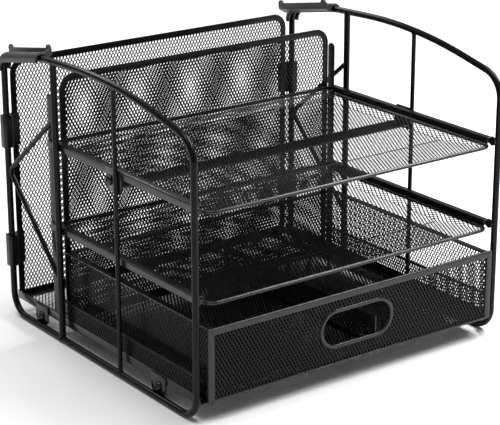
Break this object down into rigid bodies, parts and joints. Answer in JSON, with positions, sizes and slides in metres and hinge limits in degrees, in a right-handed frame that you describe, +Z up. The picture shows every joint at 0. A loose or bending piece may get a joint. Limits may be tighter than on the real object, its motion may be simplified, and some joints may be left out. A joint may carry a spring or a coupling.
{
  "type": "desk envelope sorter with hanging-file bay, letter trays and drawer",
  "caption": "Black wire and expanded-metal desk organizer with a rear hanging-file bay, letter trays in front of it and a sliding mesh drawer below with a finger slot.",
  "frame": {"origin": "on the floor under the middle of the organizer's overall box", "axes": "+X to the right seen from the front, -Y towards the user, where the drawer opens, +Z up"},
  "size_m": [0.339, 0.3138, 0.2696],
  "materials": {
    "coated_steel_rod": "satin",
    "coated_steel_strip": "satin",
    "coated_expanded_mesh": "satin",
    "moulded_black_nylon": "matt",
    "blackened_screw_steel": "semi-gloss"
  },
  "bodies": {
    "frame": {"base_frame": "coated_steel_strip", "base_tab_screws": "blackened_screw_steel", "cross_bar_nuts": "blackened_screw_steel", "cross_bar_screws": "blackened_screw_steel", "divider_frame": "coated_steel_strip", "divider_mesh": "coated_expanded_mesh", "drawer_bay_floor": "coated_expanded_mesh", "file_bay_floor": "coated_expanded_mesh", "left_base_ridge": "coated_steel_rod", "left_base_wall": "coated_expanded_mesh", "left_cross_bar_lug": "coated_steel_strip", "left_file_rail": "moulded_black_nylon", "left_front_base_tab": "coated_steel_strip", "left_lower_panel_clip": "moulded_black_nylon", "left_main_post": "coated_steel_rod", "left_rear_base_tab": "coated_steel_strip", "left_side_frame": "coated_steel_rod", "left_slim_post": "coated_steel_rod", "left_upper_panel_clip": "moulded_black_nylon", "left_upright": "coated_steel_strip", "left_zigzag_brace": "coated_steel_rod", "middle_tray_left_bar": "coated_steel_strip", "middle_tray_pan": "coated_expanded_mesh", "middle_tray_right_bar": "coated_steel_strip", "middle_tray_rim": "coated_steel_strip", "rear_panel_frame": "coated_steel_strip", "rear_panel_mesh": "coated_expanded_mesh", "right_base_ridge": "coated_steel_rod", "right_base_wall": "coated_expanded_mesh", "right_cross_bar_lug": "coated_steel_strip", "right_file_rail": "moulded_black_nylon", "right_front_base_tab": "coated_steel_strip", "right_lower_panel_clip": "moulded_black_nylon", "right_main_post": "coated_steel_rod", "right_rear_base_tab": "coated_steel_strip", "right_side_frame": "coated_steel_rod", "right_slim_post": "coated_steel_rod", "right_upper_panel_clip": "moulded_black_nylon", "right_upright": "coated_steel_strip", "right_zigzag_brace": "coated_steel_rod", "top_tray_left_bar": "coated_steel_strip", "top_tray_pan": "coated_expanded_mesh", "top_tray_right_bar": "coated_steel_strip", "top_tray_rim": "coated_steel_strip", "tray_cross_bar": "coated_steel_strip"},
    "drawer": {"drawer_floor": "coated_expanded_mesh", "drawer_foot_strip": "coated_steel_strip", "drawer_front_frame": "coated_steel_strip", "drawer_front_mesh": "coated_expanded_mesh", "drawer_left_wall": "coated_expanded_mesh", "drawer_partition_frame": "coated_steel_strip", "drawer_partition_mesh": "coated_expanded_mesh", "drawer_pull_ring": "coated_steel_strip", "drawer_rear_wall": "coated_expanded_mesh", "drawer_right_wall": "coated_expanded_mesh", "drawer_top_rim": "coated_steel_strip"}
  },
  "joints": [
    {"name": "drawer_slide", "type": "slide", "parent": "frame", "child": "drawer", "axis": [0, -1, 0], "range_m": [0, 0.18]}
  ]
}
